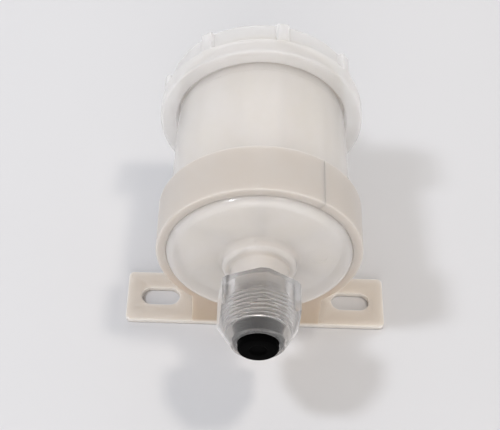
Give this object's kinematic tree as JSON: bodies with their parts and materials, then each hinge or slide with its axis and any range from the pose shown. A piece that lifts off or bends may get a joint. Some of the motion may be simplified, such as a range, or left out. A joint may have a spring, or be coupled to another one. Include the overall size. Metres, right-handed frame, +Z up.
{
  "type": "fuel filter",
  "caption": "In-line fuel filter with translucent bowl, screw cap, compression outlet nut and a slotted mounting bracket.",
  "frame": {"origin": "centre of the two mounting slots on the underside of the foot plate", "axes": "+Z up out of the mounting face, +Y along the filter axis from the outlet nut towards the screw cap, +X across the ears"},
  "size_m": [0.081, 0.1073, 0.0695],
  "materials": {
    "natural_nylon": "translucent natural nylon, as moulded",
    "milky_polypropylene": "milky translucent polypropylene",
    "cap_polypropylene": "milky translucent polypropylene",
    "natural_elastomer": "natural silicone sheet",
    "nut_polypropylene": "clear-natural polypropylene",
    "black_acetal": "black acetal",
    "spring_steel": "stamped stainless spring strip",
    "white_acetal": "white acetal",
    "black_rubber": "nitrile rubber",
    "plug_polyethylene": "black polyethylene",
    "filter_paper": "resin-treated filter paper",
    "tinned_steel": "tinned steel strip",
    "sleeve_polypropylene": "white polypropylene netting",
    "screen_mesh": "woven stainless wire"
  },
  "bodies": {
    "bracket": {"mounting_bracket": "natural_nylon"},
    "bowl": {"filter_bowl": "milky_polypropylene", "tube_seal_ring": "black_rubber"},
    "element": {"cap_gasket": "natural_elastomer", "pleated_media": "filter_paper", "media_seam_clip": "tinned_steel", "core_tube": "white_acetal", "outer_sleeve": "sleeve_polypropylene", "front_end_cap": "white_acetal", "rear_end_cap": "white_acetal", "spigot_grommet": "black_rubber", "spring_seat": "tinned_steel", "retaining_spring": "spring_steel"},
    "cap": {"screw_cap": "cap_polypropylene", "inlet_screen": "screen_mesh", "screen_retainer": "white_acetal"},
    "gripper": {"clamp_sleeve": "black_acetal", "grab_ring": "spring_steel", "backup_washer": "white_acetal"},
    "nut": {"compression_nut": "nut_polypropylene"},
    "plug": {"transit_plug": "plug_polyethylene"}
  },
  "joints": [
    {"name": "bowl_slide", "type": "slide", "parent": "bracket", "child": "bowl", "axis": [0, 1, 0], "range_m": [-0.035, 0.02]},
    {"name": "cap_travel", "type": "slide", "parent": "bowl", "child": "element", "axis": [0, 1, 0], "range_m": [0, 0.0091]},
    {"name": "cap_turn", "type": "hinge", "parent": "element", "child": "cap", "pos_m": [0, 0.05, 0.0378], "axis": [0, 1, 0], "range_deg": [0, 1080]},
    {"name": "nut_travel", "type": "slide", "parent": "bowl", "child": "gripper", "axis": [0, -1, 0], "range_m": [0, 0.0128]},
    {"name": "nut_turn", "type": "hinge", "parent": "gripper", "child": "nut", "pos_m": [0, -0.03, 0.0378], "axis": [0, -1, 0], "range_deg": [0, 3420]},
    {"name": "plug_pull", "type": "slide", "parent": "gripper", "child": "plug", "axis": [0, -1, 0], "range_m": [0, 0.022]}
  ],
  "couplings": [
    {"joint": "cap_travel", "follows": "cap_turn", "m_per_rad": 0.00047746},
    {"joint": "nut_travel", "follows": "nut_turn", "m_per_rad": 0.00021279}
  ]
}
